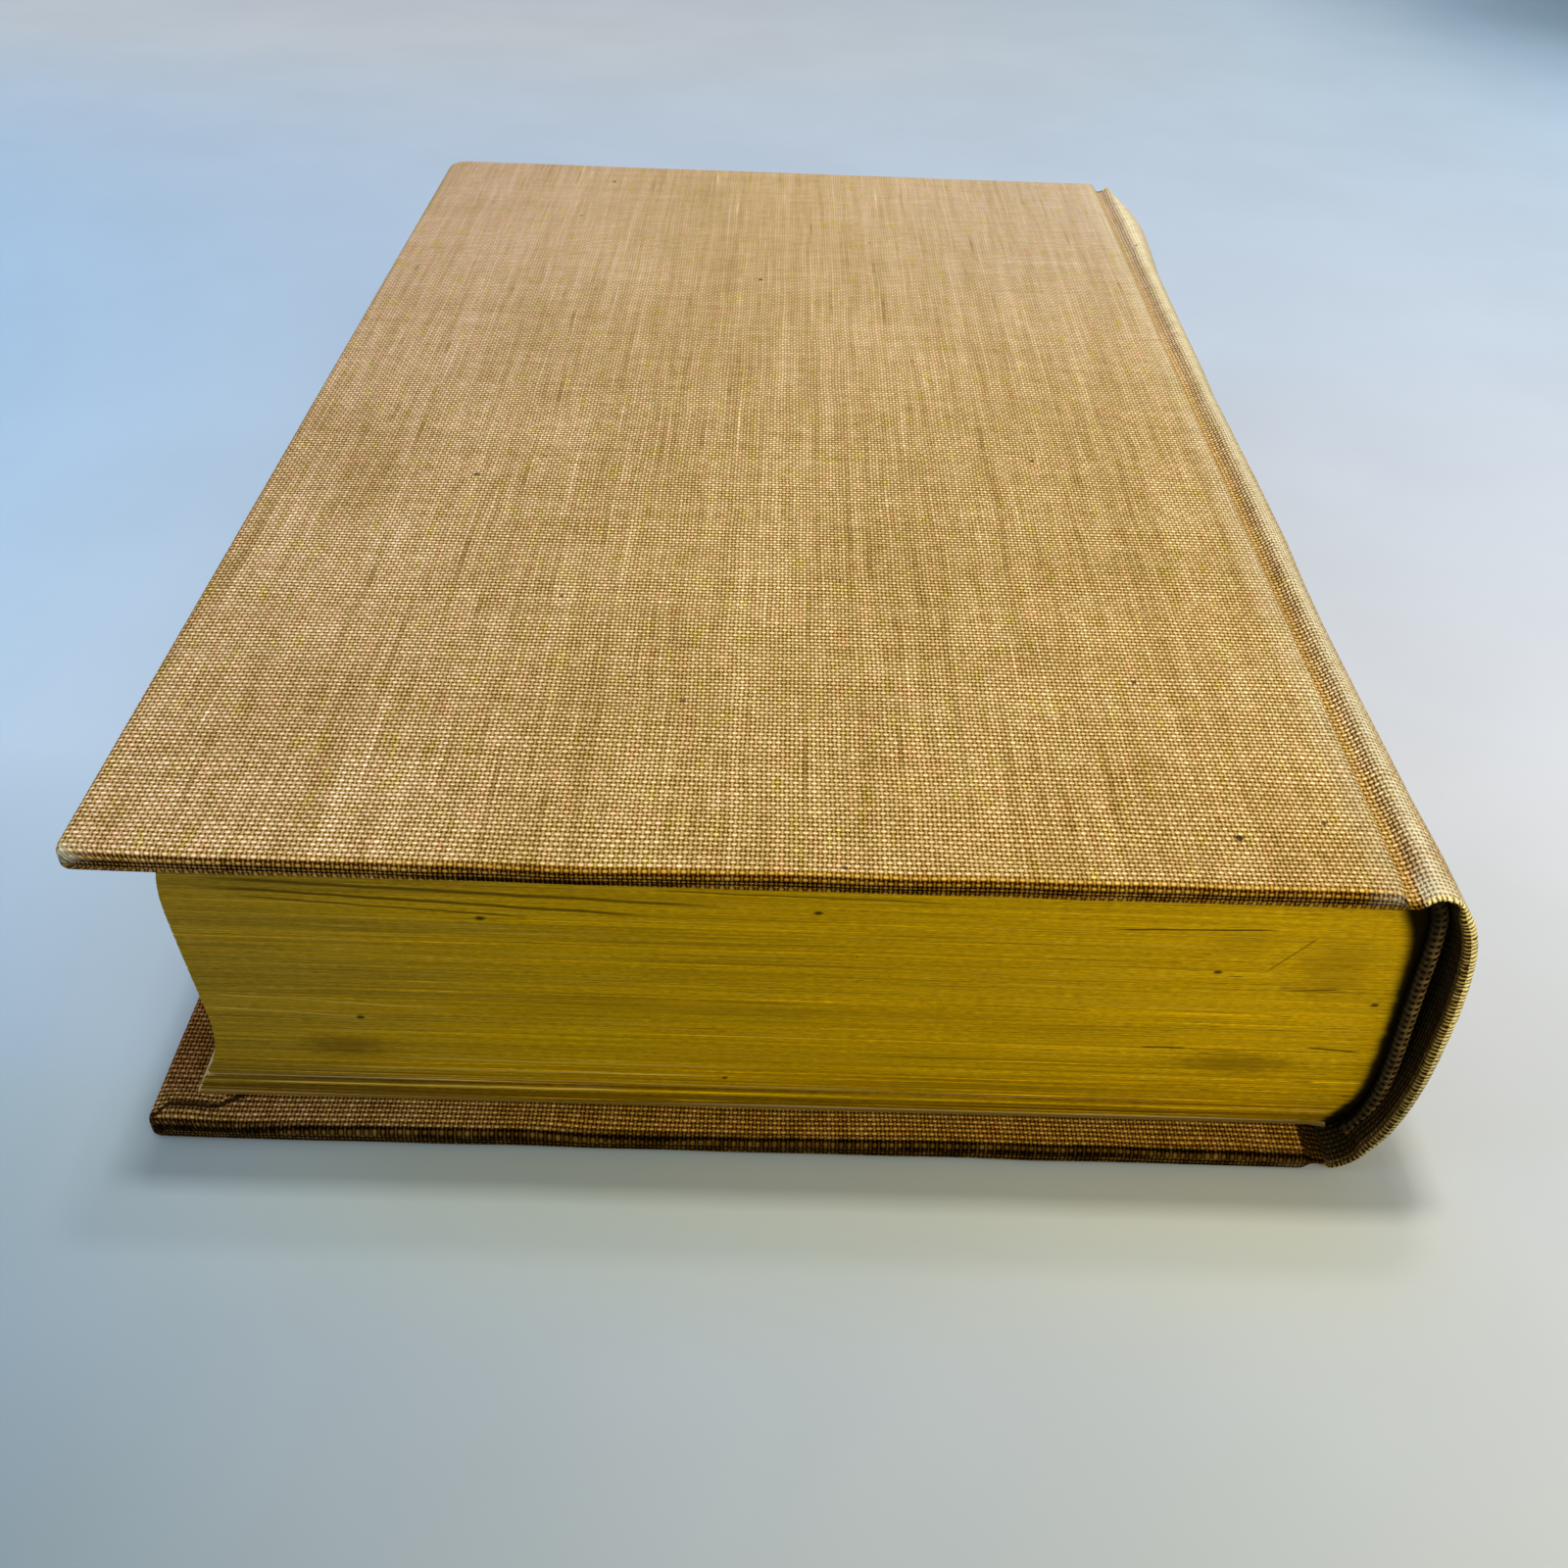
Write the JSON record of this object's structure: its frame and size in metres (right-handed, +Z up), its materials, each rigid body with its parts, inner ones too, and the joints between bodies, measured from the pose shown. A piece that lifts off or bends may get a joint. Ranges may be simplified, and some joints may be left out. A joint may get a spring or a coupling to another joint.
{
  "type": "hardback book",
  "caption": "Thick cloth-bound hardback book with a rounded hollow back, French joints, gilt top edge, sewn headbands and covers that open.",
  "frame": {"origin": "middle of the footprint, on the surface that the closed book lies on", "axes": "+Z up through the front cover, +Y towards the tail of the book, +X towards the spine"},
  "size_m": [0.1528, 0.235, 0.0462],
  "materials": {
    "bookcloth": "matt coarse linen weave, natural tan, soiled at the edges",
    "board": "grey-brown binder's board",
    "pages": "cream paper, head edge gilt and satin, other edges plain",
    "endpaper": "smooth aged cream paper",
    "super_gauze": "open starched gauze",
    "lining": "matt brown kraft paper",
    "headband_thread": "two-tone striped thread over a core",
    "inlay_card": "matt flexible card"
  },
  "bodies": {
    "text_block": {"text_block": "pages", "front_flyleaf": "endpaper", "rear_flyleaf": "endpaper", "spine_super": "super_gauze", "spine_lining_paper": "lining", "head_band": "headband_thread", "tail_band": "headband_thread", "spine_inlay": "inlay_card", "spine_cloth": "bookcloth"},
    "front_cover": {"front_board": "board", "front_cover_cloth": "bookcloth", "front_pastedown": "endpaper", "front_super_flange": "super_gauze"},
    "rear_cover": {"rear_board": "board", "rear_cover_cloth": "bookcloth", "rear_pastedown": "endpaper", "rear_super_flange": "super_gauze"}
  },
  "joints": [
    {"name": "front_cover_hinge", "type": "hinge", "parent": "text_block", "child": "front_cover", "pos_m": [0.06905, 0, 0.0456], "axis": [0, 1, 0], "range_deg": [0, 180]},
    {"name": "rear_cover_hinge", "type": "hinge", "parent": "text_block", "child": "rear_cover", "pos_m": [0.06905, 0, 0.0006], "axis": [0, -1, 0], "range_deg": [0, 180]}
  ]
}
